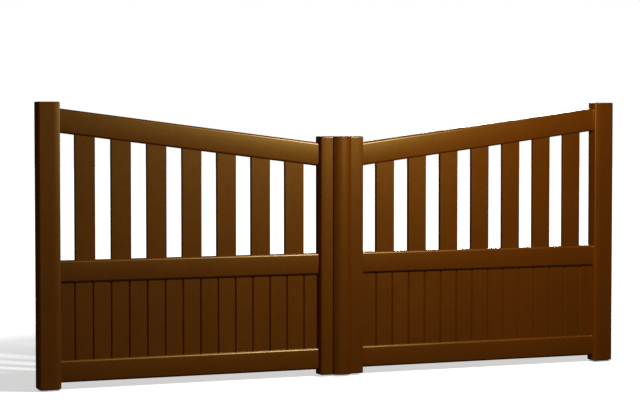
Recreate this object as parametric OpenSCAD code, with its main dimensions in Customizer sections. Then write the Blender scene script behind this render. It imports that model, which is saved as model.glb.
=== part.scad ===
// Two-leaf aluminium swing gate with open pickets above a boarded base, concave top line.
//
// Frame: +X runs along the closed gate, from the left hinge to the right one, seen from the
// street. +Y points into the property, the way both leaves open. +Z is up. The origin is on
// the left hinge's axis, at the underside of its floor pivot. Each leaf is drawn once, with its
// own hinge axis as the Z axis, and the right leaf is the mirror image of the left one.

/* [Gate] */
// Overall width of the closed gate
gate_w = 3500; // [2900:10:4200]
// Gap between the closed leaves
meeting_gap = 20; // [8:1:30]
// Length of a hinge stile with its cap and foot
hinge_stile_h = 1528; // [1250:1:1850]
// How much shorter a meeting stile is than a hinge stile
stile_drop = 191; // [60:1:260]

/* [Stiles] */
// Width of a stile, along the gate
stile_w = 120; // [90:1:145]
// Depth of a stile, through the gate
stile_d = 90; // [82:1:110]
// Radius of a stile's long corners
stile_r = 8; // [8:0.5:20]
// Width over which a stile's faces curve away on its rail side
stile_curve_w = 40; // [30:1:45]
// Radius of that curve
stile_curve_r = 150; // [140:5:400]
// Wall of a stile
stile_wall = 2.5; // [2:0.1:4]
// Stile left standing above the top rail
stile_overhang = 35; // [15:1:60]

/* [Rails] */
// Depth of the rails, through the gate
rail_d = 46; // [42:1:58]
// Radius of the rails' long corners
rail_r = 14; // [5:0.5:17]
// Wall of a rail
rail_wall = 2.5; // [2:0.1:4]
// Height of the top rail, square across it
top_rail_h = 130; // [90:1:160]
// Height of the middle rail
middle_rail_h = 120; // [90:1:150]
// Top of the middle rail, above the foot of the stiles
middle_rail_top = 684; // [500:1:800]
// Height of the bottom rail
bottom_rail_h = 120; // [90:1:150]
// Underside of the bottom rail, above the foot of the stiles
bottom_rail_z = 31; // [20:1:80]

/* [Pickets] */
// Pickets in each leaf
picket_n = 7; // [5:1:9]
// Width of a picket
picket_w = 111; // [60:1:134]
// How far the row of pickets sits off the middle of the rails, towards the hinge
picket_shift = 2.5; // [0:0.5:5]
// Thickness of a picket
picket_t = 25; // [20:0.5:30]
// Radius of a picket's long corners
picket_r = 2; // [2:0.5:6]
// Wall of a picket
picket_wall = 1.6; // [1.2:0.1:2.5]
// How far a picket reaches into a rail
picket_seat = 14; // [8:1:25]

/* [Boards] */
// Boards in each leaf
board_n = 15; // [10:1:18]
// How much narrower the board beside the hinge stile is
hinge_trim = 19; // [0:1:30]
// How much narrower the board beside the meeting stile is
meeting_trim = 10; // [0:1:30]
// Thickness of a board
board_t = 22; // [18:0.2:27]
// Wall of a board
board_wall = 1.4; // [1.2:0.1:2]
// Width of a board's bevel at a joint, half the width of the V groove there
board_v = 4.5; // [1:0.5:6]
// Thickness of a board's tongue
tongue_t = 5; // [3:0.5:6]
// Lip beside the tongue, left where a board's two bevels end
board_lip = 1.2; // [0.8:0.1:2]
// Length of a board's tongue
tongue_l = 6; // [4:0.5:8]
// How far the boards reach into a rail
board_seat = 14; // [8:1:25]

/* [Caps] */
// Height of a cap or foot outside its stile
cap_h = 10; // [8:0.5:14]
// Rounding of a cap's rim
cap_r = 7; // [2:0.5:7.5]
// How far the plug of a cap or foot reaches into its stile
plug_l = 30; // [20:1:50]
// Wall of a plug
plug_wall = 3; // [2:0.5:5]

/* [Hinges] */
// How far a floor plate stays inside the outline of its stile
plate_inset = 8; // [2:0.5:10]
// Thickness of a floor plate
plate_t = 6; // [4:0.5:10]
// Radius of the bolt holes in a floor plate
plate_hole_r = 4.5; // [3.5:0.5:5]
// Distance of a bolt hole from the plate's edges
plate_hole_edge = 12; // [9:0.5:15]
// Depth of the countersink of a bolt hole
countersink = 4; // [2:0.5:4]
// Radius of the floor pin
floor_pin_r = 10; // [8:0.5:14]
// Length of the floor pin above its collar
floor_pin_l = 30; // [20:1:36]
// Radius of the collar that carries the leaf
collar_r = 18; // [14:0.5:24]
// Height of the collar
collar_h = 3; // [2:0.5:6]
// Radius of the socket for the pin of the upper hinge bracket
top_socket_r = 8; // [6:0.5:12]
// Depth of that socket
top_socket_l = 30; // [20:1:36]
// Wall around a socket
socket_wall = 5; // [3:0.5:8]

/* [Cover strip] */
// Width of the strip that covers the gap between the leaves
strip_w = 108; // [80:1:120]
// Rise of its curved face
strip_rise = 24; // [12:0.5:32]
// Wall of the strip
strip_wall = 2.5; // [2:0.1:4]
// Clearance between the strip and the leaf that it doesn't ride on
strip_gap = 5; // [5:0.5:8]
// Offset of the strip from the middle of the gap, towards the left leaf
strip_shift = 4; // [0:1:10]
// Thickness of the plates that close its ends
strip_cap_h = 4; // [2:0.5:8]

/* [Fits] */
// Clearance of a picket, a board or a plug on each side
seat_fit = 0.3; // [0.2:0.05:0.5]
// Radial clearance of the floor pin in its socket
pin_fit = 0.05; // [0.02:0.01:0.1]
// Running gap between a leaf's foot and the collar under it
foot_gap = 0.2; // [0.1:0.05:0.3]
// Gap at the face of a board joint
board_gap = 0.4; // [0.3:0.05:0.8]

/* [Hidden] */
$fn = 64;
brown = "#5b3510";
dark_brown = "#452709";
steel = "#8c8f92";
over = 1;

plate_w = stile_w - 2 * plate_inset;
plate_d = stile_d - 2 * plate_inset;
leaf_w = (gate_w - meeting_gap) / 2;
foot_z = plate_t + collar_h + foot_gap;
inner_x0 = stile_w / 2;
inner_x1 = leaf_w - 3 * stile_w / 2;
inner_w = inner_x1 - inner_x0;
leaf_x1 = inner_x1 + stile_w;
axis_gap = gate_w - stile_w;

meeting_stile_h = hinge_stile_h - stile_drop;
slope = atan(stile_drop / inner_w);
top_rail_vh = top_rail_h / cos(slope);
rail_edge_z = foot_z + hinge_stile_h - stile_overhang;
middle_z1 = foot_z + middle_rail_top;
middle_z0 = middle_z1 - middle_rail_h;
bottom_z0 = foot_z + bottom_rail_z;
bottom_z1 = bottom_z0 + bottom_rail_h;

picket_gap = (inner_w - picket_n * picket_w) / (picket_n + 1);
picket_pitch = picket_w + picket_gap;
board_pitch = (inner_w + hinge_trim + meeting_trim) / board_n;
board_flat_y = tongue_t / 2 + seat_fit + board_lip;
trough_w = board_t + 2 * seat_fit;
trough_l = board_seat + seat_fit;

strip_x = leaf_x1 + meeting_gap / 2 - strip_shift;
strip_y = -stile_d / 2 - strip_gap;
strip_arc_r = (pow(strip_w / 2, 2) + pow(strip_rise, 2)) / (2 * strip_rise);
strip_seat_x0 = leaf_x1 + meeting_gap + stile_r;
strip_seat_w = strip_x + strip_w / 2 - strip_wall - strip_seat_x0;

function leaf_parts() = concat(
    ["hinge_stile", "hinge_stile_cap", "hinge_stile_foot",
     "meeting_stile", "meeting_stile_cap", "meeting_stile_foot",
     "top_rail", "middle_rail", "bottom_rail", "boards"],
    [for (i = [1:picket_n]) str("picket_", i)]
);

// Height of the top rail's upper edge at x along the leaf
function edge_z(x) = rail_edge_z - (x - inner_x0) * tan(slope);

// Left side of picket i, counted from the hinge
function picket_x(i) = inner_x0 + picket_gap - picket_shift + (i - 1) * picket_pitch;

// Rectangle w by d about the origin, with round corners
module round_rect(w, d, r) {
    square([w - 2 * r, d], center = true);
    square([w, d - 2 * r], center = true);
    for (x = [-1, 1], y = [-1, 1]) {
        translate([x * (w / 2 - r), y * (d / 2 - r)]) circle(r);
    }
}

// Round rectangular tube section
module tube_section(w, d, r, wall) {
    difference() {
        round_rect(w, d, r);
        round_rect(w - 2 * wall, d - 2 * wall, r - wall);
    }
}

// Outline of a stile drawn t further in. Towards +x, its rail side, both faces curve away before
// they meet a corner.
module stile_outline(t) {
    x0 = stile_w / 2 - stile_curve_w;
    run = stile_curve_w - stile_r;
    corner_y = sqrt(pow(stile_curve_r - stile_r, 2) - pow(run, 2)) - (stile_curve_r - stile_d / 2);
    intersection() {
        round_rect(stile_w - 2 * t, stile_d - 2 * t, stile_r - t);
        translate([-stile_w, -stile_d]) square([stile_w + x0, 2 * stile_d]);
    }
    intersection() {
        translate([x0, t - stile_d / 2])
            square([run * (stile_curve_r - t) / (stile_curve_r - stile_r), stile_d - 2 * t]);
        translate([x0, stile_curve_r - stile_d / 2]) circle(stile_curve_r - t, $fn = 128);
        translate([x0, stile_d / 2 - stile_curve_r]) circle(stile_curve_r - t, $fn = 128);
    }
    translate([x0, -corner_y]) square([stile_curve_w - t, 2 * corner_y]);
    for (side = [-1, 1]) translate([x0 + run, side * corner_y]) circle(stile_r - t);
}

// Lays a section out along the gate, from x0 to x1, with the section's x upwards
module along_gate(x0, x1) {
    translate([x0, 0, 0]) rotate([0, 90, 0]) rotate([0, 0, 180]) linear_extrude(x1 - x0) children();
}

// Stile between its foot and its cap, standing on the leaf's own z
module stile(h) {
    translate([0, 0, foot_z + cap_h]) linear_extrude(h - 2 * cap_h) difference() {
        stile_outline(0);
        stile_outline(stile_wall);
    }
}

// Plate with the stile's outline, its upper rim rounded
module rimmed_plate() {
    intersection() {
        linear_extrude(cap_h) stile_outline(0);
        translate([0, stile_d / 2 + over, 0]) rotate([90, 0, 0])
            linear_extrude(stile_d + 2 * over) rim_profile(stile_w);
        translate([-stile_w / 2 - over, 0, 0]) rotate([90, 0, 90])
            linear_extrude(stile_w + 2 * over) rim_profile(stile_d);
    }
}

// Side view of a cap w wide: square below, round corners above
module rim_profile(w) {
    translate([-w / 2, -over]) square([w, cap_h - cap_r + over]);
    translate([cap_r - w / 2, -over]) square([w - 2 * cap_r, cap_h + over]);
    for (x = [-1, 1]) translate([x * (w / 2 - cap_r), cap_h - cap_r]) circle(cap_r);
}

// Hollow plug that hangs under a cap and fills the stile with clearance
module plug() {
    translate([0, 0, -plug_l]) linear_extrude(plug_l + over) difference() {
        stile_outline(stile_wall + seat_fit);
        stile_outline(stile_wall + seat_fit + plug_wall);
    }
}

// Cap of a stile, the top of its tube at z = 0
module cap() {
    rimmed_plate();
    plug();
}

// Cap with a round socket, open at the top, through the plate and a boss under it
module socket_cap(r, depth) {
    difference() {
        union() {
            cap();
            translate([0, 0, cap_h - depth - socket_wall])
                cylinder(r = r + socket_wall, h = depth + socket_wall - cap_h + over);
        }
        translate([0, 0, cap_h - depth]) cylinder(r = r, h = depth + over);
    }
}

module at_stile_top(h) {
    translate([0, 0, foot_z + h - cap_h]) children();
}

module at_stile_foot() {
    translate([0, 0, foot_z + cap_h]) rotate([180, 0, 0]) children();
}

// Puts what is drawn for the hinge stile on the meeting stile, its rail side towards the rails
module at_meeting_stile() {
    translate([leaf_x1 - stile_w / 2, 0, 0]) mirror([1, 0, 0]) children();
}

// Trough that holds the boards, in rail coordinates with its mouth at +x
module trough_walls(h) {
    translate([h / 2 - rail_wall / 2 - trough_l - rail_wall, -trough_w / 2 - rail_wall])
        square([trough_l + rail_wall, trough_w + 2 * rail_wall]);
}

module trough_room(h) {
    translate([h / 2 - trough_l, -trough_w / 2]) square([trough_l + over, trough_w]);
}

// Rail section, x up and y through the gate
module rail_section(h, trough) {
    difference() {
        union() {
            tube_section(h, rail_d, rail_r, rail_wall);
            if (trough) intersection() {
                trough_walls(h);
                round_rect(h, rail_d, rail_r);
            }
        }
        if (trough) trough_room(h);
    }
}

// Slots for the pickets, as tall as z0 to z1
module picket_slots(z0, z1) {
    for (i = [1:picket_n]) {
        translate([picket_x(i) + picket_w / 2, 0, z0]) linear_extrude(z1 - z0)
            round_rect(picket_w + 2 * seat_fit, picket_t + 2 * seat_fit, picket_r + seat_fit);
    }
}

// Upright band under the sloping rail, from z0 up to drop below the rail's upper edge
module below_edge(x0, x1, z0, drop) {
    translate([0, rail_d, 0]) rotate([90, 0, 0]) linear_extrude(2 * rail_d)
        polygon([[x0, z0], [x1, z0], [x1, edge_z(x1) - drop], [x0, edge_z(x0) - drop]]);
}

module top_rail() {
    length = (inner_w + 2 * top_rail_h) / cos(slope);
    difference() {
        intersection() {
            translate([inner_x0, 0, edge_z(inner_x0)]) rotate([0, slope, 0])
                translate([0, 0, -top_rail_h / 2])
                along_gate(-top_rail_h, length) rail_section(top_rail_h, false);
            translate([inner_x0, -rail_d, 0]) cube([inner_w, 2 * rail_d, 2 * hinge_stile_h]);
        }
        intersection() {
            picket_slots(middle_z1, rail_edge_z);
            below_edge(inner_x0, inner_x1, middle_z1, top_rail_vh - picket_seat - seat_fit);
        }
    }
}

module middle_rail() {
    difference() {
        translate([0, 0, (middle_z0 + middle_z1) / 2]) mirror([0, 0, 1])
            along_gate(inner_x0, inner_x1) rail_section(middle_rail_h, true);
        picket_slots(middle_z1 - picket_seat - seat_fit, middle_z1 + over);
    }
}

module bottom_rail() {
    translate([0, 0, (bottom_z0 + bottom_z1) / 2])
        along_gate(inner_x0, inner_x1) rail_section(bottom_rail_h, true);
}

module picket(i) {
    x = picket_x(i);
    intersection() {
        translate([x + picket_w / 2, 0, middle_z1 - picket_seat]) linear_extrude(hinge_stile_h)
            tube_section(picket_w, picket_t, picket_r, picket_wall);
        below_edge(x - over, x + picket_w + over, 0, top_rail_vh - picket_seat);
    }
}

// Section of one board, its left face joint at x = 0
module board_section() {
    w = board_pitch - board_gap;
    difference() {
        union() {
            polygon([[0, -board_flat_y], [board_v, -board_t / 2], [w - board_v, -board_t / 2],
                     [w, -board_flat_y], [w, board_flat_y], [w - board_v, board_t / 2],
                     [board_v, board_t / 2], [0, board_flat_y]]);
            translate([w - over, -tongue_t / 2]) square([tongue_l + over, tongue_t]);
        }
        translate([-over, -tongue_t / 2 - seat_fit])
            square([tongue_l + seat_fit + over, tongue_t + 2 * seat_fit]);
        translate([tongue_l + seat_fit + board_wall, -board_t / 2 + board_wall])
            square([w - tongue_l - seat_fit - 2 * board_wall - board_v, board_t - 2 * board_wall]);
    }
}

// The outer boards are cut narrower, each closed by a wall on its cut side
module boards() {
    z0 = bottom_z1 - board_seat;
    translate([inner_x0, 0, z0]) linear_extrude(middle_z0 + board_seat - z0) {
        intersection() {
            for (i = [0:board_n - 1]) {
                translate([i * board_pitch + board_gap / 2 - hinge_trim, 0]) board_section();
            }
            translate([seat_fit, -board_t]) square([inner_w - 2 * seat_fit, 2 * board_t]);
        }
        for (x = [seat_fit, inner_w - seat_fit - board_wall]) {
            translate([x, -board_t / 2]) square([board_wall, board_t]);
        }
    }
}

// Cover strip section: curved towards the street, with a foot on its own leaf
module strip_outline() {
    intersection() {
        translate([0, strip_arc_r - strip_rise]) circle(strip_arc_r, $fn = 128);
        translate([-strip_w / 2, -strip_rise]) square([strip_w, strip_rise]);
    }
}

module strip_section() {
    hollow_r = strip_arc_r - strip_wall;
    difference() {
        strip_outline();
        intersection() {
            translate([0, strip_arc_r - strip_rise]) circle(hollow_r, $fn = 128);
            translate([-strip_w / 2, -strip_rise]) square([strip_w, strip_rise - strip_wall]);
        }
    }
    translate([strip_seat_x0 - strip_x, -over]) square([strip_seat_w, strip_gap + over]);
}

module at_strip(z) {
    translate([strip_x, strip_y, z]) children();
}

module cover_strip() {
    color(brown) at_strip(foot_z + strip_cap_h)
        linear_extrude(meeting_stile_h - 2 * strip_cap_h) strip_section();
}

module strip_end() {
    color(dark_brown) linear_extrude(strip_cap_h) {
        strip_outline();
        translate([strip_seat_x0 - strip_x, -over]) square([strip_seat_w, strip_gap + over]);
    }
}

module cover_strip_cap() at_strip(foot_z + meeting_stile_h - strip_cap_h) strip_end();

module cover_strip_foot() at_strip(foot_z) strip_end();

// Countersunk hole through the floor plate
module bolt_hole() {
    translate([0, 0, -over]) cylinder(r = plate_hole_r, h = plate_t + over);
    translate([0, 0, plate_t - countersink])
        cylinder(r1 = plate_hole_r, r2 = plate_hole_r + countersink + over, h = countersink + over);
}

// Floor plate with the collar and pin that the leaf turns on
module floor_pivot() {
    color(steel) {
        difference() {
            translate([0, 0, plate_t / 2]) cube([plate_w, plate_d, plate_t], center = true);
            for (x = [-1, 1], y = [-1, 1]) {
                translate([x * (plate_w / 2 - plate_hole_edge),
                           y * (plate_d / 2 - plate_hole_edge), 0]) bolt_hole();
            }
        }
        translate([0, 0, plate_t]) cylinder(r = collar_r, h = collar_h);
        translate([0, 0, plate_t]) cylinder(r = floor_pin_r, h = collar_h + floor_pin_l);
    }
}

// One part of a leaf, by its name without the side
module leaf_part(part) {
    socket_l = floor_pin_l + 2 * over;
    if (part == "hinge_stile") color(brown) stile(hinge_stile_h);
    if (part == "meeting_stile") color(brown) at_meeting_stile() stile(meeting_stile_h);
    if (part == "hinge_stile_cap")
        color(dark_brown) at_stile_top(hinge_stile_h) socket_cap(top_socket_r, top_socket_l);
    if (part == "hinge_stile_foot")
        color(dark_brown) at_stile_foot() socket_cap(floor_pin_r + pin_fit, socket_l);
    if (part == "meeting_stile_cap")
        color(dark_brown) at_meeting_stile() at_stile_top(meeting_stile_h) cap();
    if (part == "meeting_stile_foot")
        color(dark_brown) at_meeting_stile() at_stile_foot() cap();
    if (part == "top_rail") color(brown) top_rail();
    if (part == "middle_rail") color(brown) middle_rail();
    if (part == "bottom_rail") color(brown) bottom_rail();
    if (part == "boards") color(brown) boards();
    for (i = [1:picket_n]) if (part == str("picket_", i)) color(brown) picket(i);
}

// Puts a part of the left leaf where the right leaf has it
module right_hand() {
    translate([axis_gap, 0, 0]) mirror([1, 0, 0]) children();
}

floor_pivot();  // left_floor_pivot
right_hand() floor_pivot();  // right_floor_pivot
for (part = leaf_parts()) {
    leaf_part(part);
    right_hand() leaf_part(part);
}
cover_strip();
cover_strip_cap();
cover_strip_foot();
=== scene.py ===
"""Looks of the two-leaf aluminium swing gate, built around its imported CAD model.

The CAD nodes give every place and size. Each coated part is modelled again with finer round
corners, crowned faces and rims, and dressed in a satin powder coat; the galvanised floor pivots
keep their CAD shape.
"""

import logging
import math
from collections.abc import Callable, Iterable, Iterator
from contextlib import contextmanager
from dataclasses import dataclass, field
from enum import Enum

import bmesh
import bpy
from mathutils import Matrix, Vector


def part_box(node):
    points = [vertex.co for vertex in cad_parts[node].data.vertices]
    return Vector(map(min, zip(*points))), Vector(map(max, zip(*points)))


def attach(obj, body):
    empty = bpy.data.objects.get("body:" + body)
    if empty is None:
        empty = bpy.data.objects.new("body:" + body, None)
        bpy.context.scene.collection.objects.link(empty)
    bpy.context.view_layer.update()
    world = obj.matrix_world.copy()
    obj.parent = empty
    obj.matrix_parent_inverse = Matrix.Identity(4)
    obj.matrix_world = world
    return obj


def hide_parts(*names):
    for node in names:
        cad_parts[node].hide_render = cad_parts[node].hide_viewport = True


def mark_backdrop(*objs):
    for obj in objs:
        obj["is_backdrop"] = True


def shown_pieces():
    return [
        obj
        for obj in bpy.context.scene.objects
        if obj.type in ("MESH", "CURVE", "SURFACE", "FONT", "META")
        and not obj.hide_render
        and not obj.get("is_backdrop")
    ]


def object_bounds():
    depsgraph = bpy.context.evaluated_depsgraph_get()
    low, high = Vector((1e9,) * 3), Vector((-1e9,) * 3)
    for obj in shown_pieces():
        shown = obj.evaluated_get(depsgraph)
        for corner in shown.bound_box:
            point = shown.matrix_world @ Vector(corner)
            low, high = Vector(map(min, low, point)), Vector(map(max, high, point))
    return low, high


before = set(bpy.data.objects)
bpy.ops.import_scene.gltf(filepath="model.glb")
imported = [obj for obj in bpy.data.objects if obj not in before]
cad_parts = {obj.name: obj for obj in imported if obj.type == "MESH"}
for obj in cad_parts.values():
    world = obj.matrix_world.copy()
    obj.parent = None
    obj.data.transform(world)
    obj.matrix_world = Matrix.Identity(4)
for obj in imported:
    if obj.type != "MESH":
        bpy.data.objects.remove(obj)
CAD_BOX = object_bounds()
LOG = logging.getLogger("gate")

Colour = tuple[float, float, float, float]
Point = tuple[float, float, float]
Piece = bpy.types.Object
Socket = bpy.types.NodeSocket
MM = 0.001
WHITE: Colour = (1.0, 1.0, 1.0, 1.0)
SQUARE = 0.999  # least cosine at which an edge or a face counts as parallel to an axis


class Slot(Enum):
    """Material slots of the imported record."""

    FRAME = "frame_coat"
    INFILL = "infill_coat"
    CAPS = "end_caps"
    STEEL = "galvanised_steel"


class Hand(Enum):
    """The two leaves, as seen from the street."""

    LEFT = "left"
    RIGHT = "right"

    @property
    def body(self) -> str:
        """Name of the CAD body of this leaf."""
        return f"{self.value}_leaf"


# --------------------------------------------------------------------------- workbench


class Bench:
    """Selecting, cutting and finishing meshes with Blender's own tools."""

    NEAR = 0.02 * MM
    ARC = 0.5  # bevel profile of a circular arc
    LARGE_FACES = 100  # gives the large faces the say over the shading of a corner
    EQUAL_FACES = 0.001  # difference up to which two faces count as equally large

    @staticmethod
    def clear() -> None:
        """Deselects everything."""
        bpy.ops.object.select_all(action="DESELECT")

    @staticmethod
    def pick(obj: Piece) -> None:
        """Makes one object the only selected and active one.

        Args:
            obj: The object.
        """
        Bench.clear()
        obj.select_set(True)
        bpy.context.view_layer.objects.active = obj

    @staticmethod
    @contextmanager
    def editing(obj: Piece) -> Iterator[None]:
        """Opens obj in edit mode with nothing selected, and closes it afterwards.

        Args:
            obj: The mesh object to edit.

        Returns:
            A context that lasts as long as edit mode.
        """
        Bench.pick(obj)
        bpy.ops.object.mode_set(mode="EDIT")
        bpy.ops.mesh.select_all(action="DESELECT")
        yield
        bpy.ops.object.mode_set(mode="OBJECT")

    @staticmethod
    def select(obj: Piece, kind: str, wanted: Callable) -> int:
        """Selects the vertices, edges or faces for which a test holds, in edit mode.

        Args:
            obj: The mesh object in edit mode.
            kind: "VERT", "EDGE" or "FACE".
            wanted: Test of one bmesh element.

        Returns:
            How many elements were selected.
        """
        bpy.ops.mesh.select_mode(type=kind)
        bpy.ops.mesh.select_all(action="DESELECT")
        mesh = bmesh.from_edit_mesh(obj.data)
        found = {"VERT": mesh.verts, "EDGE": mesh.edges, "FACE": mesh.faces}[kind]
        count = 0
        for element in found:
            if wanted(element):
                element.select_set(True)
                count += 1
        mesh.select_flush_mode()
        bmesh.update_edit_mesh(obj.data)
        return count

    @staticmethod
    def block(name: str, low: Vector | Point, high: Vector | Point) -> Piece:
        """Starts a piece from a box between two corners.

        Args:
            name: Name of the piece.
            low: Lowest corner, in metres.
            high: Highest corner, in metres.

        Returns:
            The new object, its place in its mesh.
        """
        low, high = Vector(low), Vector(high)
        Bench.clear()
        bpy.ops.mesh.primitive_cube_add(size=1, location=(low + high) / 2, scale=high - low)
        obj = bpy.context.object
        obj.name = obj.data.name = name
        Bench.settle(obj)
        return obj

    @staticmethod
    def settle(obj: Piece) -> None:
        """Moves an object's place, turn and scale into its mesh."""
        Bench.pick(obj)
        bpy.ops.object.transform_apply(location=True, rotation=True, scale=True)

    @staticmethod
    def slice(obj: Piece, point: Vector | Point, normal: Vector | Point,
              away: bool = False) -> None:
        """Cuts the whole mesh by a plane, in edit mode.

        Args:
            obj: The mesh object in edit mode.
            point: A point of the plane.
            normal: Normal of the plane.
            away: Whether what lies on the normal's side is taken away and the cut closed.
        """
        bpy.ops.mesh.select_all(action="SELECT")
        bpy.ops.mesh.bisect(plane_co=point, plane_no=normal, clear_outer=away)
        if away and Bench.select(obj, "EDGE", lambda e: e.is_boundary):
            bpy.ops.mesh.edge_face_add()

    @staticmethod
    def round_edges(obj: Piece, wanted: Callable, width: float, steps: int) -> None:
        """Rounds the edges for which a test holds, in edit mode.

        Args:
            obj: The mesh object in edit mode.
            wanted: Test of one bmesh edge.
            width: Distance from the edge at which the rounding starts, in metres.
            steps: Faces across the rounding.
        """
        if Bench.select(obj, "EDGE", wanted):
            bpy.ops.mesh.bevel(offset=width, segments=steps, profile=Bench.ARC,
                               affect="EDGES", clamp_overlap=False)
            Bench.merge()

    @staticmethod
    def extrude(shift: Point) -> None:
        """Extrudes the selected faces or edges by a shift, in edit mode."""
        bpy.ops.mesh.extrude_region_move(TRANSFORM_OT_translate={"value": shift})

    @staticmethod
    def merge() -> None:
        """Joins vertices that lie on each other, in edit mode."""
        bpy.ops.mesh.select_all(action="SELECT")
        bpy.ops.mesh.remove_doubles(threshold=Bench.NEAR)

    @staticmethod
    def modify(obj: Piece, kind: str, **settings: object) -> None:
        """Adds a modifier, sets it up and applies it.

        Args:
            obj: The object to change.
            kind: Blender's name for the modifier's type.
            **settings: Values of the modifier's properties.
        """
        modifier = obj.modifiers.new(kind.lower(), kind)
        for key, value in settings.items():
            setattr(modifier, key, value)
        Bench.pick(obj)
        bpy.ops.object.modifier_apply(modifier=modifier.name)

    @staticmethod
    def cut(obj: Piece, cutters: list[Piece]) -> None:
        """Takes the space of some blocks out of a piece, and removes the blocks.

        Args:
            obj: The piece to cut.
            cutters: The blocks.
        """
        for cutter in cutters:
            Bench.modify(obj, "BOOLEAN", operation="DIFFERENCE", solver="EXACT", object=cutter)
            bpy.data.meshes.remove(cutter.data)

    @staticmethod
    def copy(obj: Piece, name: str, shift: Vector | Point = (0, 0, 0)) -> Piece:
        """Copies a piece with a mesh of its own.

        Args:
            obj: The piece to copy.
            name: Name of the copy.
            shift: How far the copy is moved, in metres.

        Returns:
            The copy, its place in its mesh.
        """
        twin = obj.copy()
        twin.data = obj.data.copy()
        twin.name = twin.data.name = name
        bpy.context.scene.collection.objects.link(twin)
        twin.location = shift
        Bench.settle(twin)
        return twin

    @staticmethod
    def mirror(obj: Piece, name: str, middle: float) -> Piece:
        """Copies a piece to the other side of the plane x = middle.

        Args:
            obj: The piece to copy.
            name: Name of the copy.
            middle: Place of the plane, in metres.

        Returns:
            The mirrored copy, its faces pointing outwards.
        """
        twin = Bench.copy(obj, name)
        with Bench.editing(twin):
            bpy.ops.mesh.select_all(action="SELECT")
            bpy.ops.transform.resize(value=(-1, 1, 1), center_override=(middle, 0, 0))
            bpy.ops.mesh.flip_normals()
        Bench.smooth(twin)
        return twin

    @staticmethod
    def smooth(obj: Piece, angle: float = 35) -> None:
        """Shades round corners smooth and keeps the flat faces flat.

        Args:
            obj: The piece to shade.
            angle: Edges sharper than this many degrees stay sharp.
        """
        Bench.pick(obj)
        bpy.ops.mesh.customdata_custom_splitnormals_clear()
        bpy.ops.object.shade_smooth_by_angle(angle=math.radians(angle))
        Bench.modify(obj, "WEIGHTED_NORMAL", keep_sharp=True, weight=Bench.LARGE_FACES,
                     thresh=Bench.EQUAL_FACES)


def near(a: float, b: float) -> bool:
    """Whether two places are the same within the bench's tolerance."""
    return abs(a - b) < Bench.NEAR


def along(edge: bmesh.types.BMEdge, axis: int) -> bool:
    """Whether an edge runs along one axis."""
    run = edge.verts[1].co - edge.verts[0].co
    return run.length > 0 and abs(run[axis]) > SQUARE * run.length


def points(face: bmesh.types.BMFace, axis: int, way: int = 0) -> bool:
    """Whether a face points along one axis, the way of +1 or -1, or either way for 0."""
    return (face.normal[axis] * way if way else abs(face.normal[axis])) > SQUARE


def at(edge: bmesh.types.BMEdge, axis: int, place: float) -> bool:
    """Whether both ends of an edge have one coordinate at a place."""
    return all(near(v.co[axis], place) for v in edge.verts)


# --------------------------------------------------------------------------- profiles


@dataclass(frozen=True)
class StileProfile:
    """Outline of a stile: round corners, and faces that curve away on the rail side."""

    corner: float = 8 * MM
    curve_width: float = 40 * MM
    curve_radius: float = 150 * MM
    curve_rows: int = 6
    corner_steps: int = 8

    def block(self, name: str, low: Vector, high: Vector, rails: int) -> Piece:
        """Makes a bar with this outline.

        Args:
            name: Name of the piece.
            low: Lowest corner of the bar.
            high: Highest corner of the bar.
            rails: +1 where the rails join on the side of larger x, else -1.

        Returns:
            The bar, upright and closed.
        """
        bar = Bench.block(name, low, high)
        half = (high.y - low.y) / 2
        middle = (high.y + low.y) / 2
        side = high.x if rails > 0 else low.x
        other = low.x if rails > 0 else high.x
        start = side - rails * self.curve_width
        turn = math.asin((self.curve_width - self.corner) / (self.curve_radius - self.corner))
        rows = []
        for k in range(self.curve_rows + 1):
            a = turn * k / self.curve_rows
            rows.append((start + rails * self.curve_radius * math.sin(a),
                         half - self.curve_radius * (1 - math.cos(a))))
        last_x, last_y = rows[-1]
        rows.append((side, last_y - abs(side - last_x) * math.tan(turn)))
        fillet = self.corner * math.tan((math.pi / 2 - turn) / 2)
        with Bench.editing(bar):
            for x, _ in rows[:-1]:
                Bench.slice(bar, (x, 0, 0), (1, 0, 0))
            for x, y in rows[1:]:
                Bench.select(bar, "VERT", lambda v, x=x: near(v.co.x, x))
                bpy.ops.transform.resize(value=(1, y / half, 1), center_override=(x, middle, 0))
            Bench.select(bar, "FACE", lambda f: points(f, 2))
            bpy.ops.mesh.dissolve_faces()
            Bench.round_edges(bar, lambda e: along(e, 2) and at(e, 0, other), self.corner,
                              self.corner_steps)
            Bench.round_edges(bar, lambda e: along(e, 2) and at(e, 0, side), fillet,
                              self.corner_steps)
        return bar


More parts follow.
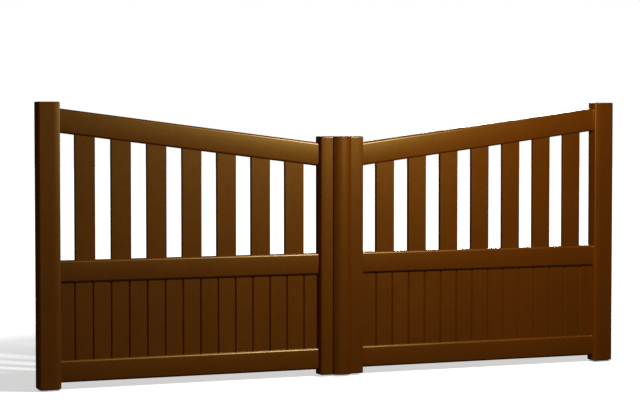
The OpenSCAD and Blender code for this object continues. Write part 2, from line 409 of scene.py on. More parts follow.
@dataclass(frozen=True)
class RailProfile:
    """Outline of a rail: slightly crowned faces and round corners."""

    corner: float = 14 * MM
    crown_radius: float = 600 * MM
    crown_rows: int = 10
    corner_steps: int = 10

    def block(self, name: str, low: Vector, high: Vector) -> Piece:
        """Makes a bar along x with this outline.

        Args:
            name: Name of the piece.
            low: Lowest corner of the bar.
            high: Highest corner of the bar.

        Returns:
            The bar, level and closed.
        """
        bar = Bench.block(name, low, high)
        depth, height = (high.y - low.y) / 2, (high.z - low.z) / 2
        level = (high.z + low.z) / 2
        turn = math.asin((height - self.corner) / (self.crown_radius - self.corner))
        rows = []
        for k in range(self.crown_rows + 1):
            a = turn * (2 * k / self.crown_rows - 1)
            rows.append((level + self.crown_radius * math.sin(a),
                         depth - self.crown_radius * (1 - math.cos(a))))
        ends = []
        for sign, (z, y) in ((-1, rows[0]), (1, rows[-1])):
            edge = level + sign * height
            ends.append((edge, y - abs(edge - z) * math.tan(turn)))
        fillet = self.corner * math.tan((math.pi / 2 - turn) / 2)
        with Bench.editing(bar):
            for z, _ in rows:
                Bench.slice(bar, (0, 0, z), (0, 0, 1))
            for z, y in rows + ends:
                Bench.select(bar, "VERT", lambda v, z=z: near(v.co.z, z))
                bpy.ops.transform.resize(value=(1, y / depth, 1), center_override=(0, 0, z))
            Bench.round_edges(
                bar, lambda e: along(e, 0) and any(at(e, 2, z) for z, _ in ends), fillet,
                self.corner_steps)
        return bar


# --------------------------------------------------------------------------- finishes


NOISE_SPAN = (0.3, 0.7)  # what a soft noise mostly keeps to
SPECK_SPAN = (0.42, 0.7)  # what a coarse noise passes only in specks


class NodeDesk:
    """Adds and joins shader nodes in one node tree."""

    def __init__(self, tree: bpy.types.NodeTree) -> None:
        """Takes the tree to work on."""
        self.tree = tree

    def add(self, kind: str, inputs: dict | None = None, **settings: object) -> bpy.types.Node:
        """Adds a node.

        Args:
            kind: Blender's type name of the node.
            inputs: Values or sockets for its inputs, by name or number.
            **settings: Values of the node's properties.

        Returns:
            The new node.
        """
        node = self.tree.nodes.new(kind)
        for key, value in settings.items():
            setattr(node, key, value)
        self.feed(node, inputs or {})
        return node

    def feed(self, node: bpy.types.Node, inputs: dict) -> None:
        """Sets a node's inputs.

        Args:
            node: The node.
            inputs: Values or other nodes' sockets, by the input's name or number.
        """
        for key, value in inputs.items():
            if isinstance(value, Socket):
                self.tree.links.new(value, node.inputs[key])
            else:
                node.inputs[key].default_value = value

    def math(self, operation: str, a: object, b: object = 0.0) -> Socket:
        """Adds a Math node and returns its result."""
        return self.add("ShaderNodeMath", {0: a, 1: b}, operation=operation).outputs[0]

    def ramp(self, value: Socket, low: float, high: float,
             out_low: float = 0.0, out_high: float = 1.0) -> Socket:
        """Maps a value from one range to another, held at the ends.

        Args:
            value: The value to map.
            low: Start of its range.
            high: End of its range.
            out_low: Result at the start.
            out_high: Result at the end.

        Returns:
            The mapped value.
        """
        return self.add("ShaderNodeMapRange", {
            "Value": value, "From Min": low, "From Max": high,
            "To Min": out_low, "To Max": out_high}).outputs["Result"]

    def noise(self, where: Socket, scale: object, detail: float,
              roughness: float = 0.5) -> Socket:
        """Adds a soft noise.

        Args:
            where: Coordinates that it follows.
            scale: How many waves it has in a metre.
            detail: How many finer noises are added.
            roughness: How strong those are.

        Returns:
            The noise, mostly between 0.3 and 0.7.
        """
        return self.add("ShaderNodeTexNoise", {
            "Vector": where, "Scale": scale, "Detail": detail, "Roughness": roughness,
        }).outputs["Fac"]

    def mix(self, factor: object, a: object, b: object) -> Socket:
        """Mixes two colours and returns the result."""
        return self.add("ShaderNodeMix", {0: factor, 6: a, 7: b}, data_type="RGBA").outputs[2]


class SharedGroup:
    """A shader node group that several finishes use, built once."""

    name = ""
    inputs: dict[str, float] = {}
    outputs: tuple[str, ...] = ()

    @classmethod
    def tree(cls) -> bpy.types.NodeTree:
        """Makes the group on its first use.

        Returns:
            The group.
        """
        known = bpy.data.node_groups.get(cls.name)
        if known:
            return known
        group = bpy.data.node_groups.new(cls.name, "ShaderNodeTree")
        group.interface.new_socket("Place", in_out="INPUT", socket_type="NodeSocketVector")
        for key, value in cls.inputs.items():
            socket = group.interface.new_socket(key, in_out="INPUT",
                                                socket_type="NodeSocketFloat")
            socket.default_value = value
        for key in cls.outputs:
            group.interface.new_socket(key, in_out="OUTPUT", socket_type="NodeSocketFloat")
        desk = NodeDesk(group)
        given = desk.add("NodeGroupInput")
        desk.add("NodeGroupOutput", cls.build(desk, given.outputs))
        return group

    @classmethod
    def build(cls, desk: NodeDesk, given: bpy.types.NodeOutputs) -> dict[str, Socket]:
        """Builds the inside of the group.

        Args:
            desk: Desk of the group's tree.
            given: The group's inputs.

        Returns:
            The group's outputs by name.
        """
        raise NotImplementedError

    @classmethod
    def place(cls, desk: NodeDesk, where: Socket, **values: float) -> bpy.types.Node:
        """Places the group in a material.

        Args:
            desk: Desk of the material.
            where: Coordinates that the pattern follows.
            **values: Values of the group's inputs, with _ for a space.

        Returns:
            The group node.
        """
        inputs = {key.replace("_", " "): value for key, value in values.items()}
        return desk.add("ShaderNodeGroup", {"Place": where, **inputs}, node_tree=cls.tree())


class OrangePeel(SharedGroup):
    """The soft dimpled skin of a baked powder coat, with finer grit in it."""

    name = "orange_peel"
    inputs = {"Dimple Scale": 420.0, "Grit Scale": 2600.0, "Grit Share": 0.25}
    outputs = ("Height",)

    @classmethod
    def build(cls, desk: NodeDesk, given: bpy.types.NodeOutputs) -> dict[str, Socket]:
        """Mixes wide dimples and fine grit into one height.

        Args:
            desk: Desk of the group's tree.
            given: The group's inputs.

        Returns:
            The group's outputs by name.
        """
        dimples = desk.noise(given["Place"], given["Dimple Scale"], detail=1.5, roughness=0.4)
        grit = desk.noise(given["Place"], given["Grit Scale"], detail=1.0)
        fine = desk.math("MULTIPLY", grit, given["Grit Share"])
        return {"Height": desk.math("ADD", dimples, fine)}


class DrawLines(SharedGroup):
    """Faint long streaks that an extrusion die leaves along a profile."""

    name = "draw_lines"
    inputs = {"Line Scale": 90.0, "Stretch": 0.02}
    outputs = ("Level", "Upright")

    @classmethod
    def build(cls, desk: NodeDesk, given: bpy.types.NodeOutputs) -> dict[str, Socket]:
        """Stretches one noise along the gate and one upwards.

        Args:
            desk: Desk of the group's tree.
            given: The group's inputs.

        Returns:
            The group's outputs by name.
        """
        made = {}
        for key, axis in (("Level", 0), ("Upright", 2)):
            scale = desk.add("ShaderNodeCombineXYZ", {0: 1.0, 1: 1.0, 2: 1.0})
            desk.tree.links.new(given["Stretch"], scale.inputs[axis])
            drawn = desk.add("ShaderNodeVectorMath", {0: given["Place"], 1: scale.outputs[0]},
                             operation="MULTIPLY")
            made[key] = desk.noise(drawn.outputs[0], given["Line Scale"], detail=3.0,
                                   roughness=0.6)
        return made


class Clouding(SharedGroup):
    """Wide, barely visible changes of tone over a sprayed surface."""

    name = "clouding"
    inputs = {"Cloud Scale": 3.0, "Patch Scale": 28.0}
    outputs = ("Cloud", "Patch")

    @classmethod
    def build(cls, desk: NodeDesk, given: bpy.types.NodeOutputs) -> dict[str, Socket]:
        """Makes a wide and a narrower noise."""
        return {key: desk.noise(given["Place"], given[f"{key} Scale"], detail=2.0)
                for key in cls.outputs}


class YardDust(SharedGroup):
    """Fine dust and dried splashes, densest near the ground."""

    name = "yard_dust"
    inputs = {"Reach": 0.35, "Speck Scale": 160.0}
    outputs = ("Mask",)

    @classmethod
    def build(cls, desk: NodeDesk, given: bpy.types.NodeOutputs) -> dict[str, Socket]:
        """Fades a speckle out with height.

        Args:
            desk: Desk of the group's tree.
            given: The group's inputs.

        Returns:
            The group's outputs by name.
        """
        height = desk.add("ShaderNodeSeparateXYZ", {0: given["Place"]}).outputs["Z"]
        share = desk.math("DIVIDE", height, given["Reach"])
        low = desk.ramp(share, 0.0, 1.0, 1.0, 0.0)
        specks = desk.noise(given["Place"], given["Speck Scale"], detail=4.0, roughness=0.7)
        marks = desk.ramp(specks, *SPECK_SPAN)
        return {"Mask": desk.math("MULTIPLY", desk.math("MULTIPLY", low, low), marks)}


class Grain(Enum):
    """The way a profile was drawn, which its faint lines follow."""

    LEVEL = "Level"
    UPRIGHT = "Upright"
    NONE = ""


@dataclass(frozen=True)
class Finish:
    """A surface finish, made as one node material that its pieces share."""

    name: str
    colour: Colour

    def material(self) -> bpy.types.Material:
        """Builds the finish as a node material, or returns it if it is built.

        Returns:
            The material.
        """
        known = bpy.data.materials.get(self.name)
        if known:
            return known
        made = bpy.data.materials.new(self.name)
        made.use_nodes = True
        made.diffuse_color = self.colour
        desk = NodeDesk(made.node_tree)
        where = desk.add("ShaderNodeTexCoord").outputs["Object"]
        desk.feed(made.node_tree.nodes["Principled BSDF"], self.layers(desk, where))
        return made

    def layers(self, desk: NodeDesk, where: Socket) -> dict[str, object]:
        """Builds the pattern nodes, and returns what the Principled shader takes."""
        raise NotImplementedError


@dataclass(frozen=True)
class CoatFinish(Finish):
    """Satin brown powder coat on aluminium, or the matching coat of a moulded end."""

    grain: Grain = Grain.NONE
    roughness: float = 0.434
    patchiness: float = 0.02
    line_gloss: float = 0.015
    line_relief: float = 0.3
    tone: float = 0.06
    peel_depth: float = 0.00006
    peel_strength: float = 0.35
    dimple_scale: float = 420.0
    index: float = 1.65
    sheen_level: float = 0.86
    tint: Colour = (1.0, 0.64, 0.06, 1.0)
    lacquer: float = 0.5
    lacquer_roughness: float = 0.3
    dust: Colour = (0.17, 0.060, 0.005, 1.0)
    dust_share: float = 0.08
    dust_dullness: float = 0.5

    def layers(self, desk: NodeDesk, where: Socket) -> dict[str, object]:
        """Lays tone, dust, gloss and relief over each other.

        Args:
            desk: Desk of the material.
            where: Object coordinates.

        Returns:
            The Principled shader's inputs by name.
        """
        clouds = Clouding.place(desk, where)
        dust = YardDust.place(desk, where)
        peel = OrangePeel.place(desk, where, Dimple_Scale=self.dimple_scale)
        dark, light = (tuple(c * share for c in self.colour[:3]) + (1.0,)
                       for share in (1 - self.tone, 1 + self.tone))
        tone = desk.mix(desk.ramp(clouds.outputs["Cloud"], *NOISE_SPAN), dark, light)
        share = desk.math("MULTIPLY", dust.outputs["Mask"], self.dust_share)
        rough = desk.ramp(clouds.outputs["Patch"], *NOISE_SPAN,
                          self.roughness - self.patchiness, self.roughness + self.patchiness)
        rough = desk.math("ADD", rough, desk.math("MULTIPLY", share, self.dust_dullness))
        height = peel.outputs["Height"]
        if self.grain is not Grain.NONE:
            lines = DrawLines.place(desk, where).outputs[self.grain.value]
            rough = desk.math("ADD", rough, desk.ramp(lines, *NOISE_SPAN, -self.line_gloss,
                                                      self.line_gloss))
            height = desk.math("ADD", height, desk.math("MULTIPLY", lines, self.line_relief))
        bump = desk.add("ShaderNodeBump", {"Height": height, "Strength": self.peel_strength,
                                           "Distance": self.peel_depth})
        return {"Base Color": desk.mix(share, tone, self.dust), "Roughness": rough,
                "Normal": bump.outputs["Normal"], "IOR": self.index,
                "Specular IOR Level": self.sheen_level, "Specular Tint": self.tint,
                "Coat Weight": self.lacquer, "Coat Roughness": self.lacquer_roughness}


@dataclass(frozen=True)
class ZincFinish(Finish):
    """Hot-dip galvanised steel with its spangle. Its colour is that of the light flakes."""

    dark: Colour = (0.40, 0.41, 0.43, 1.0)
    spangle_scale: float = 130.0
    spangle_depth: float = 0.00008
    spangle_strength: float = 0.2
    gloss: tuple[float, float] = (0.36, 0.50)
    dulling: float = 0.4
    metal: float = 0.85

    def layers(self, desk: NodeDesk, where: Socket) -> dict[str, object]:
        """Makes light and dark flakes, dulled in places.

        Args:
            desk: Desk of the material.
            where: Object coordinates.

        Returns:
            The Principled shader's inputs by name.
        """
        spangle = desk.add("ShaderNodeTexVoronoi", {"Vector": where,
                                                    "Scale": self.spangle_scale})
        flake = desk.add("ShaderNodeSeparateColor", {0: spangle.outputs["Color"]}).outputs[0]
        clouds = Clouding.place(desk, where, Cloud_Scale=22.0, Patch_Scale=90.0)
        tone = desk.mix(flake, self.dark, self.colour)
        dull = desk.math("MULTIPLY", clouds.outputs["Cloud"], self.dulling)
        bump = desk.add("ShaderNodeBump", {"Height": flake, "Strength": self.spangle_strength,
                                           "Distance": self.spangle_depth})
        return {"Base Color": desk.mix(dull, tone, self.dark),
                "Roughness": desk.ramp(clouds.outputs["Patch"], *NOISE_SPAN, *self.gloss),
                "Normal": bump.outputs["Normal"], "Metallic": self.metal}


BROWN: Colour = (0.114, 0.0224, 0.0, 1.0)
RAIL_COAT = CoatFinish("satin_rail", BROWN, Grain.LEVEL)
STILE_COAT = CoatFinish("satin_stile", BROWN, Grain.UPRIGHT)
INFILL_COAT = CoatFinish("satin_infill", BROWN, Grain.UPRIGHT, dimple_scale=460.0)
CAP_COAT = CoatFinish("satin_moulding", (0.110, 0.0225, 0.0, 1.0), roughness=0.45,
                      peel_depth=0.00004)
ZINC = ZincFinish("zinc_spangle", (0.56, 0.57, 0.58, 1.0))


# --------------------------------------------------------------------------- sub-assemblies


def dress(piece: Piece, finish: Finish, body: str, node: str) -> None:
    """Gives a finished piece its material and its body, and hides the CAD node that it stands
    for.

    Args:
        piece: The piece, its place in its mesh.
        finish: What it is coated with.
        body: The CAD body that it moves with.
        node: CAD node that it stands for.
    """
    piece.data.materials.clear()
    piece.data.materials.append(finish.material())
    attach(piece, body)
    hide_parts(node)
    LOG.info("%s stands for %s", piece.name, node)


@dataclass
class Stile:
    """Hollow stile of the left leaf with its cap and foot."""

    node: str
    rails: int
    profile: StileProfile = field(default_factory=StileProfile)
    wall: float = 2.5 * MM
    seam: float = 0.4 * MM
    rim: float = 7 * MM
    plug_gap: float = 0.3 * MM
    plug_length: float = 30 * MM
    rim_steps: int = 7
    seam_steps: int = 2
    bore_sides: int = 64

    def tube(self) -> Piece:
        """Makes the stile's tube.

        Returns:
            The tube, open at both ends under its cap and foot.
        """
        low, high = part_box(self.node)
        bar = self.profile.block(f"{self.node}_tube", low, high, self.rails)
        with Bench.editing(bar):
            Bench.round_edges(bar, lambda e: at(e, 2, low.z) or at(e, 2, high.z), self.seam,
                              self.seam_steps)
            Bench.select(bar, "FACE", lambda f: points(f, 2))
            bpy.ops.mesh.inset(thickness=self.wall - self.seam, use_even_offset=True)
            bpy.ops.mesh.delete(type="FACE")
            Bench.select(bar, "EDGE", lambda e: e.is_boundary and at(e, 2, high.z))
            Bench.extrude((0, 0, low.z - high.z))
            Bench.merge()
            bpy.ops.mesh.normals_make_consistent(inside=False)
        Bench.smooth(bar)
        return bar

    def end(self, kind: str, bore: float = 0.0, bore_depth: float = 0.0) -> Piece:
        """Makes the cap or the foot: a plate with a round rim and a plug inside the tube.

        Args:
            kind: "cap" or "foot".
            bore: Radius of the hole for the hinge pin, 0 for none.
            bore_depth: Depth of that hole.

        Returns:
            The moulded end.
        """
        node = f"{self.node}_{kind}"
        low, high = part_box(node)
        tube_low, tube_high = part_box(self.node)
        up = kind == "cap"
        outer, inner = (high.z, tube_high.z) if up else (low.z, tube_low.z)
        out = 1 if up else -1
        plate = self.profile.block(
            f"{node}_moulding", Vector((low.x, low.y, min(outer, inner))),
            Vector((high.x, high.y, max(outer, inner))), self.rails)
        with Bench.editing(plate):
            Bench.round_edges(plate, lambda e: at(e, 2, outer), self.rim, self.rim_steps)
            Bench.round_edges(plate, lambda e: at(e, 2, inner), self.seam, self.seam_steps)
            Bench.select(plate, "FACE", lambda f: points(f, 2, -out))
            bpy.ops.mesh.inset(thickness=self.wall + self.plug_gap - self.seam,
                               use_even_offset=True)
            Bench.extrude((0, 0, -out * self.plug_length))
        if bore:
            Bench.cut(plate, [self.bore_space(bore, (low.x + high.x) / 2, outer,
                                              outer - out * bore_depth)])
        Bench.smooth(plate)
        return plate

    def bore_space(self, radius: float, x: float, mouth: float, ground: float) -> Piece:
        """Makes the space of a hinge pin's hole, flared at its mouth.

        Args:
            radius: Radius of the hole.
            x: Place of its axis.
            mouth: Height of its open end.
            ground: Height of its closed end.

        Returns:
            The upright block to cut out.
        """
        flare, spare = 0.8 * MM, 2 * MM
        out = 1 if mouth > ground else -1
        Bench.clear()
        bpy.ops.mesh.primitive_cylinder_add(
            vertices=self.bore_sides, radius=radius, depth=abs(mouth - ground) - flare,
            location=(x, 0, (mouth - out * flare + ground) / 2))
        space = bpy.context.object
        Bench.settle(space)
        wide = (radius + flare) / radius
        with Bench.editing(space):
            Bench.select(space, "FACE", lambda f: points(f, 2, out))
            Bench.extrude((0, 0, out * flare))
            bpy.ops.transform.resize(value=(wide, wide, 1), center_override=(x, 0, mouth))
            Bench.extrude((0, 0, out * spare))
        return space


@dataclass
class Leaf:
    """One leaf: stiles, rails, pickets and boards. The right leaf mirrors the left one."""

    pickets: int = 7
    boards: int = 15
    picket_corner: float = 2 * MM
    picket_steps: int = 5
    space_reach: float = 100 * MM
    seat: float = 14 * MM
    play: float = 0.3 * MM
    trough: float = 22.6 * MM
    board_joint: float = 0.4 * MM
    bevel_width: float = 6.0 * MM
    bevel_end: float = 4 * MM
    board_edge: float = 0.5 * MM
    board_edge_steps: int = 3
    hinge_trim: float = 19 * MM
    meeting_trim: float = 10 * MM
    tongue: float = 5 * MM
    tongue_reach: float = 6 * MM
    socket: float = 8 * MM
    socket_depth: float = 30 * MM
    pin_bore: float = 10.05 * MM
    pin_bore_depth: float = 32 * MM
    rail: RailProfile = field(default_factory=RailProfile)

    @property
    def slope(self) -> float:
        """Fall of the top rail, in radians."""
        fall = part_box("left_hinge_stile")[1].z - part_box("left_meeting_stile")[1].z
        return math.atan(fall / (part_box("left_top_rail")[1].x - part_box("left_top_rail")[0].x))

    @property
    def top_rail_height(self) -> float:
        """Height of the top rail, square across it."""
        low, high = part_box("left_top_rail")
        return (high.z - low.z - (high.x - low.x) * math.tan(self.slope)) * math.cos(self.slope)

    def picket_block(self, name: str, low: Vector, high: Vector, spare: float) -> Piece:
        """Makes a picket, or the space for one, with its top cut along the top rail.

        Args:
            name: Name of the piece.
            low: Lowest corner.
            high: Highest corner, reached on the hinge side.
            spare: Allowance on every side.

        Returns:
            The upright block with round long corners.
        """
        grow = Vector((spare, spare, 0))
        bar = Bench.block(name, low - grow, high + grow)
        corner = self.picket_corner + spare
        with Bench.editing(bar):
            Bench.round_edges(bar, lambda e: along(e, 2), corner, self.picket_steps)
            Bench.slice(bar, (low.x, 0, high.z), (math.sin(self.slope), 0, math.cos(self.slope)),
                        away=True)
        return bar

    def spaces(self, rail_is_top: bool) -> list[Piece]:
        """Makes the spaces that the pickets need in a rail.

        Args:
            rail_is_top: Whether it is the top rail, not the middle one.

        Returns:
            The blocks to cut out.
        """
        made = []
        for i in range(1, self.pickets + 1):
            low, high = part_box(f"left_picket_{i}")
            rise = Vector((0, 0, self.play))
            if rail_is_top:
                low = Vector((low.x, low.y, high.z - self.space_reach))
                made.append(self.picket_block("space", low, high + rise, self.play))
            else:
                high = Vector((high.x, high.y, low.z + self.space_reach))
                made.append(self.picket_block("space", low - rise, high, self.play))
        return made

    def trough_space(self, node: str, up: bool) -> Piece:
        """Makes the space that the boards need in a rail.

        Args:
            node: The rail's CAD node.
            up: Whether the space is open upwards, not downwards.

        Returns:
            The block to cut out.
        """
        low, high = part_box(node)
        deep = self.seat + self.play
        z0, z1 = (high.z - deep, high.z + deep) if up else (low.z - deep, low.z + deep)
        return Bench.block("space", (low.x - deep, -self.trough / 2, z0),
                           (high.x + deep, self.trough / 2, z1))

    def top_rail(self) -> Piece:
        """Makes the sloping top rail.

        Returns:
            The rail, its ends cut upright.
        """
        low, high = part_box("left_top_rail")
        height, spare = self.top_rail_height, 2 * self.space_reach
        bar = self.rail.block("left_top_rail_bar", Vector((-spare, low.y, -height)),
                              Vector((high.x - low.x + spare, high.y, 0)))
        bar.location = (low.x, 0, high.z)
        bar.rotation_euler = (0, self.slope, 0)
        Bench.settle(bar)
        with Bench.editing(bar):
            Bench.slice(bar, (low.x, 0, 0), (-1, 0, 0), away=True)
            Bench.slice(bar, (high.x, 0, 0), (1, 0, 0), away=True)
        Bench.cut(bar, self.spaces(True))
        Bench.smooth(bar)
        return bar

    def level_rail(self, node: str, spaces: list[Piece]) -> Piece:
        """Makes the middle or the bottom rail.

        Args:
            node: The rail's CAD node.
            spaces: The blocks to cut out of it.

        Returns:
            The rail.
        """
        bar = self.rail.block(f"{node}_bar", *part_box(node))
        Bench.cut(bar, spaces)
        Bench.smooth(bar)
        return bar

    def picket_row(self) -> list[Piece]:
        """Makes one picket, and copies it along the leaf.

        Returns:
            The pickets from the hinge on, each cut to the slope.
        """
        low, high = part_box("left_picket_1")
        first = self.picket_block("left_picket_1_bar", low, high, 0.0)
        Bench.smooth(first)
        made = [first]
        for i in range(2, self.pickets + 1):
            to_low, to_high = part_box(f"left_picket_{i}")
            bar = Bench.copy(first, f"left_picket_{i}_bar", (to_low.x - low.x, 0, 0))
            with Bench.editing(bar):
                Bench.slice(bar, (to_low.x, 0, to_high.z),
                            (math.sin(self.slope), 0, math.cos(self.slope)), away=True)
            Bench.smooth(bar)
            made.append(bar)
        return made

    def board(self, name: str, low: Vector, high: Vector, tongue: bool, groove: bool) -> Piece:
        """Makes one board, bevelled on its joint sides.

        Args:
            name: Name of the piece.
            low: Lowest corner, without the tongue.
            high: Highest corner, without the tongue.
            tongue: Whether it has a tongue on the side of larger x.
            groove: Whether it has a groove on the side of smaller x.

        Returns:
            The board.
        """
        board = Bench.block(name, low, high)
        narrow = 2 * self.bevel_end / (high.y - low.y)
        joints = [(high.x, -1)] * tongue + [(low.x, 1)] * groove
        with Bench.editing(board):
            for x, inwards in joints:
                Bench.slice(board, (x + inwards * self.bevel_width, 0, 0), (1, 0, 0))
                Bench.select(board, "VERT", lambda v, x=x: near(v.co.x, x))
                bpy.ops.transform.resize(value=(1, narrow, 1), center_override=(x, 0, 0))
            Bench.round_edges(
                board, lambda e: along(e, 2) and (at(e, 1, low.y) or at(e, 1, high.y)),
                self.board_edge, self.board_edge_steps)
            if tongue:
                Bench.select(board, "FACE", lambda f: points(f, 0, 1))
                bpy.ops.mesh.inset(thickness=self.bevel_end - self.tongue / 2)
                Bench.extrude((self.tongue_reach, 0, 0))
            if groove:
                Bench.select(board, "FACE", lambda f: points(f, 0, -1))
                bpy.ops.mesh.inset(thickness=self.bevel_end - self.tongue / 2 - self.play)
                Bench.extrude((self.tongue_reach + self.play, 0, 0))
        Bench.smooth(board)
        return board

    def board_row(self) -> list[Piece]:
        """Makes the two outer boards, and one in between that is copied.

        Returns:
            The boards from the hinge on.
        """
        low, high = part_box("left_boards")
        rail_low, rail_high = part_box("left_bottom_rail")
        first_x = rail_low.x - self.hinge_trim
        pitch = (rail_high.x + self.meeting_trim - first_x) / self.boards
        gap = self.board_joint / 2
        made = []
        inner = None
        for i in range(self.boards):
            x0, x1 = first_x + i * pitch + gap, first_x + (i + 1) * pitch - gap
            name = f"left_board_{i + 1}"
            if i in (0, self.boards - 1):
                made.append(self.board(name, Vector((max(x0, low.x), low.y, low.z)),
                                       Vector((min(x1, high.x), high.y, high.z)),
                                       i == 0, i > 0))
            elif inner is None:
                inner = self.board(name, Vector((x0, low.y, low.z)),
                                   Vector((x1, high.y, high.z)), True, True)
                made.append(inner)
            else:
                made.append(Bench.copy(inner, name, ((i - 1) * pitch, 0, 0)))
        return made

    def build(self) -> None:
        """Builds the left leaf, mirrors it to the right one and dresses both."""
        hinge, meeting = Stile("left_hinge_stile", 1), Stile("left_meeting_stile", -1)
        rows: list[tuple[Piece, Finish, Slot, str]] = []
        for stile, node in ((hinge, "hinge_stile"), (meeting, "meeting_stile")):
            bored = stile is hinge
            rows.append((stile.tube(), STILE_COAT, Slot.FRAME, node))
            rows.append((stile.end("cap", self.socket if bored else 0.0, self.socket_depth),
                         CAP_COAT, Slot.CAPS, f"{node}_cap"))
            rows.append((stile.end("foot", self.pin_bore if bored else 0.0,
                                   self.pin_bore_depth),
                         CAP_COAT, Slot.CAPS, f"{node}_foot"))
        middle, bottom = "left_middle_rail", "left_bottom_rail"
        rows.append((self.top_rail(), RAIL_COAT, Slot.FRAME, "top_rail"))
        rows.append((self.level_rail(middle, self.spaces(False) + [
            self.trough_space(middle, False)]), RAIL_COAT, Slot.FRAME, "middle_rail"))
        rows.append((self.level_rail(bottom, [self.trough_space(bottom, True)]),
                     RAIL_COAT, Slot.FRAME, "bottom_rail"))
        for i, bar in enumerate(self.picket_row(), 1):
            rows.append((bar, INFILL_COAT, Slot.INFILL, f"picket_{i}"))
        for bar in self.board_row():
            rows.append((bar, INFILL_COAT, Slot.INFILL, "boards"))
        centre = (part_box("left_hinge_stile")[0].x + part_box("right_hinge_stile")[1].x) / 2
        for piece, finish, slot, node in rows:
            twin = Bench.mirror(piece, piece.name.replace("left_", "right_", 1), centre)
            for hand, made in ((Hand.LEFT, piece), (Hand.RIGHT, twin)):
                dress(made, finish, hand.body, f"{hand.value}_{node}")


@dataclass
class CoverStrip:
    """Curved strip on the right leaf that covers the gap between the leaves."""

    rise: float = 24 * MM
    wall: float = 2.5 * MM
    edge: float = 1.2 * MM
    edge_steps: int = 3
    rim: float = 2.0 * MM
    rim_steps: int = 4
    sides: int = 144
    seat_inset: float = 8 * MM

    def profile(self, name: str, low_z: float, high_z: float) -> Piece:
        """Makes a bar with the strip's outline: a round front, and a foot on its own leaf.

        Args:
            name: Name of the piece.
            low_z: Lower end.
            high_z: Upper end.

        Returns:
            The bar, upright and closed.
        """
        low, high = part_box("cover_strip")
        half = (high.x - low.x) / 2
        radius = (half**2 + self.rise**2) / (2 * self.rise)
        back = low.y + self.rise
        foot = (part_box("right_meeting_stile")[0].x + self.seat_inset, high.x - self.wall)
        Bench.clear()
        bpy.ops.mesh.primitive_cylinder_add(
            vertices=self.sides, radius=radius, depth=high_z - low_z,
            location=((high.x + low.x) / 2, low.y + radius, (low_z + high_z) / 2))
        bar = bpy.context.object
        bar.name = bar.data.name = name
        Bench.settle(bar)
        with Bench.editing(bar):
            Bench.slice(bar, (0, back, 0), (0, 1, 0), away=True)
            Bench.round_edges(bar, lambda e: along(e, 2) and at(e, 1, back), self.edge,
                              self.edge_steps)
            for x in foot:
                Bench.slice(bar, (x, 0, 0), (1, 0, 0))
            Bench.select(bar, "FACE", lambda f: points(f, 1, 1) and
                         foot[0] < f.calc_center_median().x < foot[1])
            Bench.extrude((0, high.y - back, 0))
        return bar

    def build(self) -> None:
        """Builds the strip and its two end plates, and dresses them."""
        low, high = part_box("cover_strip")
        back = low.y + self.rise
        bar = self.profile("cover_strip_bar", low.z, high.z)
        Bench.smooth(bar)
        dress(bar, STILE_COAT, Hand.RIGHT.body, "cover_strip")
        for node in ("cover_strip_cap", "cover_strip_foot"):
            end_low, end_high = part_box(node)
            plate = self.profile(f"{node}_plate", end_low.z, end_high.z)
            outer = end_high.z if node.endswith("cap") else end_low.z
            with Bench.editing(plate):
                Bench.round_edges(
                    plate, lambda e: at(e, 2, outer) and not along(e, 1)
                    and all(v.co.y < back - Bench.NEAR for v in e.verts),
                    self.rim, self.rim_steps)
            Bench.smooth(plate)
            dress(plate, CAP_COAT, Hand.RIGHT.body, node)


@dataclass
class FloorPivots:
    """The two steel floor plates with their pins, kept from the CAD model."""

    nodes: tuple[str, str] = ("left_floor_pivot", "right_floor_pivot")

    def build(self) -> None:
        """Gives the CAD nodes their galvanised finish."""
        for name in self.nodes:
            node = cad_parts[name]
            node.data.materials.clear()
            node.data.materials.append(ZINC.material())
            LOG.info("%s keeps its CAD shape", name)


# --------------------------------------------------------------------------- studio


def collect(name: str, members: Iterable[Piece]) -> bpy.types.Collection:
    """Gathers objects in a new collection of the scene.

    Args:
        name: Name of the collection.
        members: The objects.

    Returns:
        The collection.
    """
    made = bpy.data.collections.new(name)
    bpy.context.scene.collection.children.link(made)
    for member in members:
        made.objects.link(member)
    return made


class Fade(Enum):
    """How a lamp's light fades with distance."""

    NONE = "Constant"
    SLOW = "Linear"


@dataclass
class Lamp:
    """One soft lamp. One that isn't mirrored lights a surface's colour, with no highlight."""

    name: str
    place: Point
    power: float
    radius: float
    fade: Fade = Fade.NONE
    mirrored: bool = True

    def build(self, lights: bpy.types.Collection) -> None:
        """Hangs the lamp.

        Args:
            lights: Collection of the only objects that it lights.
        """
        data = bpy.data.lights.new(self.name, "POINT")
        data.energy = self.power
        data.shadow_soft_size = self.radius
        data.use_nodes = True
        desk = NodeDesk(data.node_tree)
        falloff = desk.add("ShaderNodeLightFalloff", {"Strength": 1.0})
        desk.feed(data.node_tree.nodes["Emission"],
                  {"Strength": falloff.outputs[self.fade.value]})
        lamp = bpy.data.objects.new(self.name, data)
        lamp.location = self.place
        lamp.visible_camera = False
        lamp.visible_glossy = self.mirrored
        lamp.light_linking.receiver_collection = lights
        bpy.context.scene.collection.objects.link(lamp)


GATE_LAMPS = (
    Lamp("key_lamp", (2.33, -1.331, 2.184), 83.5, 0.12, Fade.SLOW),
    Lamp("fill_lamp", (-9.0, -2.5, 1.6), 4.6, 0.5, mirrored=False),
    Lamp("back_lamp", (5.2, 4.6, 3.0), 20.0, 0.6),
)
FLOOR_LAMP = Lamp("floor_lamp", (2.96, -1.83, 2.2), 40.0, 0.12)


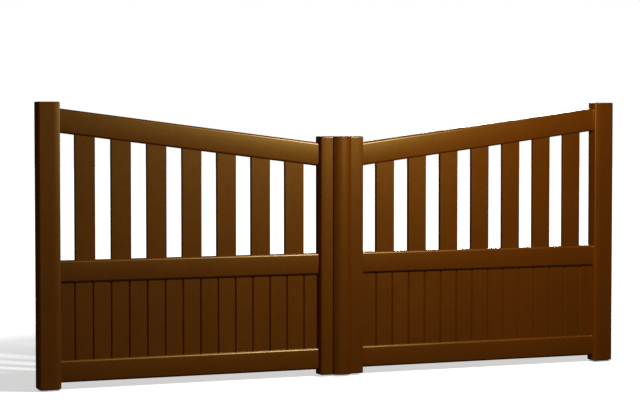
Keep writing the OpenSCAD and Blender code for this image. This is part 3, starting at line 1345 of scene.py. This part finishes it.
@dataclass
class Studio:
    """White floor and backdrop, soft lamps and the camera."""

    camera_place: Point = (-3.028, -10.739, 1.480)
    camera_yaw: float = -0.4046
    camera_pitch: float = 0.0436
    lens: float = 117.49
    sensor: float = 36.0
    view_range: tuple[float, float] = (0.1, 400.0)
    ambient: float = 0.136
    shade_level: float = 0.55
    shade_span: tuple[float, float] = (2.0, 4.2)
    matt_level: float = 0.8
    floor_radius: float = 45.0
    floor_sides: int = 96
    dome_radius: float = 70.0
    dome_rings: int = 32

    def camera(self) -> None:
        """Sets up the camera."""
        data = bpy.data.cameras.new("camera")
        data.lens, data.sensor_width = self.lens, self.sensor
        data.clip_start, data.clip_end = self.view_range
        camera = bpy.data.objects.new("camera", data)
        camera.location = self.camera_place
        camera.rotation_euler = (math.pi / 2 - self.camera_pitch, 0.0, self.camera_yaw)
        bpy.context.scene.collection.objects.link(camera)
        bpy.context.scene.camera = camera

    @staticmethod
    def blank(name: str) -> tuple[bpy.types.Material, NodeDesk, bpy.types.Node]:
        """Starts a material.

        Args:
            name: Name of the material.

        Returns:
            The material, its desk and a plain white glow.
        """
        made = bpy.data.materials.new(name)
        made.use_nodes = True
        made.node_tree.nodes.clear()
        desk = NodeDesk(made.node_tree)
        return made, desk, desk.add("ShaderNodeEmission", {"Color": WHITE, "Strength": 1.0})

    def floor_material(self) -> bpy.types.Material:
        """Makes the white floor. It keeps the gate's shadow, and a painted glow lightens that
        shadow more the farther it falls behind the gate.

        Returns:
            The material. Where metal mirrors it, it is plain white, as the backdrop.
        """
        made, desk, white = self.blank("studio_floor")
        where = desk.add("ShaderNodeTexCoord").outputs["Object"]
        reach = desk.add("ShaderNodeVectorMath", {0: where}, operation="LENGTH")
        # Painted light: the glow climbs from shade_level near the gate to 1 far out, so the
        # lamp's shadow is lifted more the farther it falls.
        glow = desk.add("ShaderNodeEmission", {"Color": WHITE, "Strength": desk.ramp(
            reach.outputs["Value"], *self.shade_span, self.shade_level, 1.0)})
        matt = desk.add("ShaderNodeBsdfDiffuse", {"Color": (self.matt_level,) * 3 + (1.0,)})
        both = desk.add("ShaderNodeAddShader", {0: glow.outputs[0], 1: matt.outputs[0]})
        path = desk.add("ShaderNodeLightPath")
        shown = desk.add("ShaderNodeMixShader", {
            0: path.outputs["Is Camera Ray"], 1: white.outputs[0], 2: both.outputs[0]})
        desk.add("ShaderNodeOutputMaterial", {"Surface": shown.outputs[0]})
        return made

    def backdrop_material(self) -> bpy.types.Material:
        """Makes the plain white backdrop.

        Returns:
            The material.
        """
        made, desk, white = self.blank("studio_backdrop")
        desk.add("ShaderNodeOutputMaterial", {"Surface": white.outputs[0]})
        return made

    def set_pieces(self) -> Piece:
        """Lays the floor and puts the backdrop round it.

        Both are mirrored by the bare metal only, as the satin coat shows nothing of them.

        Returns:
            The floor.
        """
        middle = (CAD_BOX[0] + CAD_BOX[1]) / 2
        Bench.clear()
        bpy.ops.mesh.primitive_circle_add(
            vertices=self.floor_sides, radius=self.floor_radius, fill_type="NGON",
            location=(middle.x, 0, 0))
        floor = bpy.context.object
        floor.name = "studio_floor"
        floor.data.materials.append(self.floor_material())
        bpy.ops.mesh.primitive_uv_sphere_add(
            segments=2 * self.dome_rings, ring_count=self.dome_rings, radius=self.dome_radius)
        dome = bpy.context.object
        dome.name = "studio_backdrop"
        dome.data.materials.append(self.backdrop_material())
        metal = collect("bare_metal", [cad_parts[name] for name in FloorPivots.nodes])
        for obj in (floor, dome):
            obj.visible_diffuse = False
            obj.light_linking.receiver_collection = metal
        dome.visible_shadow = False
        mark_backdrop(floor, dome)
        return floor

    def world(self) -> None:
        """Even, dim light from all round."""
        world = bpy.data.worlds.new("studio_world")
        world.use_nodes = True
        shade = world.node_tree.nodes["Background"]
        shade.inputs["Color"].default_value = WHITE
        shade.inputs["Strength"].default_value = self.ambient
        bpy.context.scene.world = world

    def build(self) -> None:
        """Sets the whole studio up round the finished gate."""
        scene = bpy.context.scene
        scene.view_settings.view_transform = "Standard"
        self.camera()
        self.world()
        floor = self.set_pieces()
        gate = collect("lit_gate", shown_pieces())
        ground = collect("lit_floor", [floor])
        for lamp in GATE_LAMPS:
            lamp.build(gate)
        FLOOR_LAMP.build(ground)
        LOG.info("studio is set up")


def main() -> None:
    """Builds the gate and its studio in order."""
    logging.basicConfig(level=logging.INFO, format="%(name)s: %(message)s")
    Leaf().build()
    CoverStrip().build()
    FloorPivots().build()
    Studio().build()


if __name__ == "__main__":
    main()
